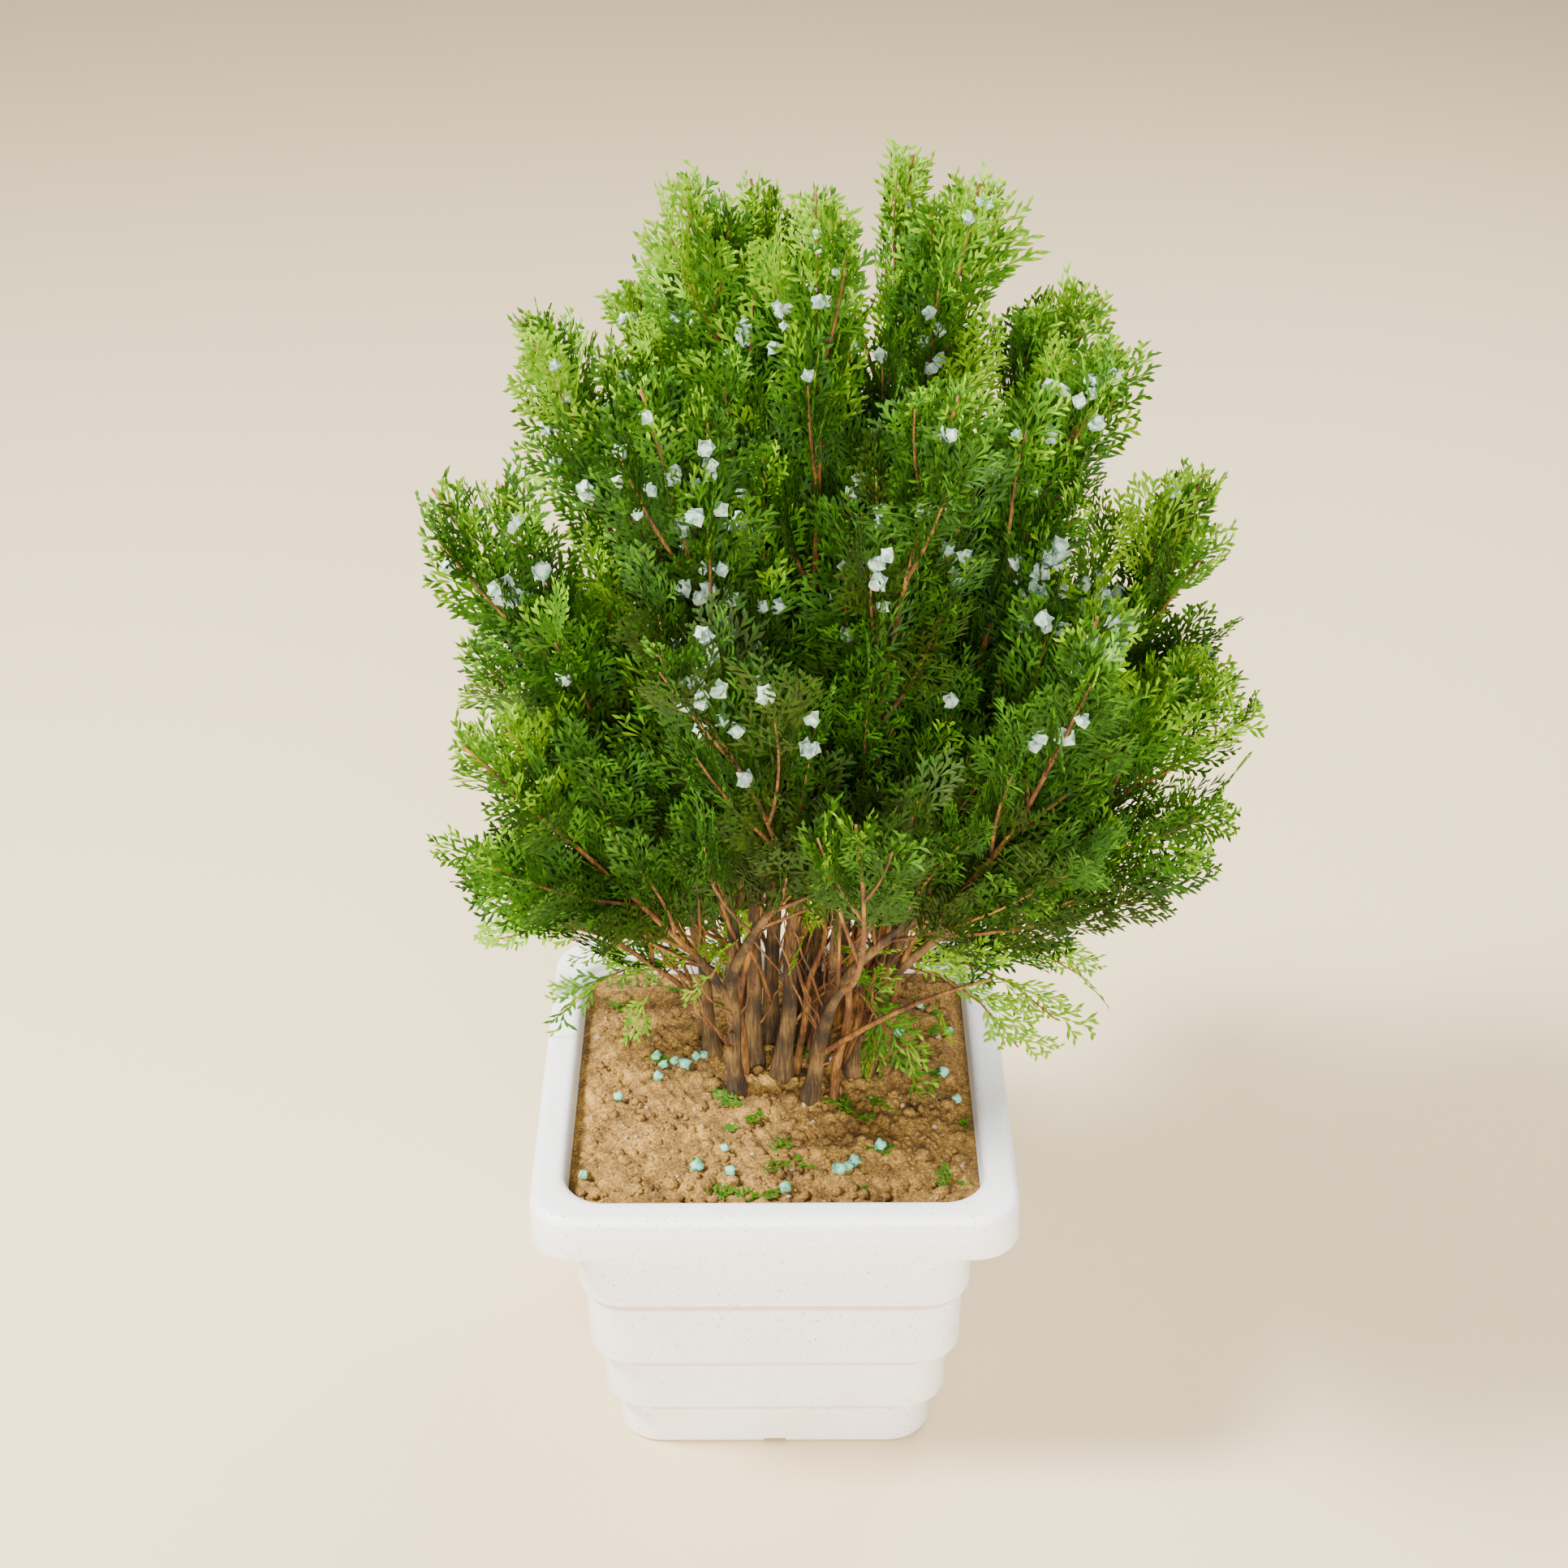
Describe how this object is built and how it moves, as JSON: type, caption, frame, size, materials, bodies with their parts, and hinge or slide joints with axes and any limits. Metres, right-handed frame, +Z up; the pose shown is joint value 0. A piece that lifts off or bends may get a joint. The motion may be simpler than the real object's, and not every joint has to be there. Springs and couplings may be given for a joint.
{
  "type": "potted oriental arborvitae",
  "caption": "Bushy oriental arborvitae with upright fans of scale foliage, bare slender stems and a square stepped white plastic pot of soil.",
  "frame": {"origin": "centre of the pot's flat underside, which stands on the ground at z = 0", "axes": "+Z up from the pot's underside to the crown, -Y towards the pot side where the crown is open low down, +X across the rim to the right of that side"},
  "size_m": [0.4797, 0.4971, 0.836],
  "materials": {
    "pot_plastic": "white moulded plastic, faint grey specks",
    "soil": "dry loose earth",
    "bark": "thin stringy red-brown bark",
    "foliage": "fresh scale leaves, slightly waxy"
  },
  "bodies": {
    "root": {"pot": "pot_plastic", "soil": "soil", "stem_top_1": "bark", "stem_top_2": "bark", "stem_top_3": "bark", "stem_top_4": "bark", "stem_top_5": "bark", "stem_shoulder_1": "bark", "stem_shoulder_2": "bark", "stem_shoulder_3": "bark", "stem_shoulder_4": "bark", "stem_shoulder_5": "bark", "stem_shoulder_6": "bark", "stem_shoulder_7": "bark", "bough_flank_1": "bark", "bough_flank_2": "bark", "bough_flank_3": "bark", "bough_flank_4": "bark", "bough_flank_5": "bark", "bough_flank_6": "bark", "bough_flank_7": "bark", "bough_flank_8": "bark", "bough_flank_9": "bark", "bough_flank_10": "bark", "bough_flank_11": "bark", "bough_flank_12": "bark", "foliage_top_1": "foliage", "foliage_top_2": "foliage", "foliage_top_3": "foliage", "foliage_top_4": "foliage", "foliage_top_5": "foliage", "foliage_shoulder_1": "foliage", "foliage_shoulder_2": "foliage", "foliage_shoulder_3": "foliage", "foliage_shoulder_4": "foliage", "foliage_shoulder_5": "foliage", "foliage_shoulder_6": "foliage", "foliage_shoulder_7": "foliage", "foliage_flank_1": "foliage", "foliage_flank_2": "foliage", "foliage_flank_3": "foliage", "foliage_flank_4": "foliage", "foliage_flank_5": "foliage", "foliage_flank_6": "foliage", "foliage_flank_7": "foliage", "foliage_flank_8": "foliage", "foliage_flank_9": "foliage", "foliage_flank_10": "foliage", "foliage_flank_11": "foliage", "foliage_flank_12": "foliage", "foliage_skirt_1": "foliage", "foliage_skirt_2": "foliage", "foliage_skirt_3": "foliage", "foliage_skirt_4": "foliage", "foliage_skirt_5": "foliage"}
  },
  "joints": []
}
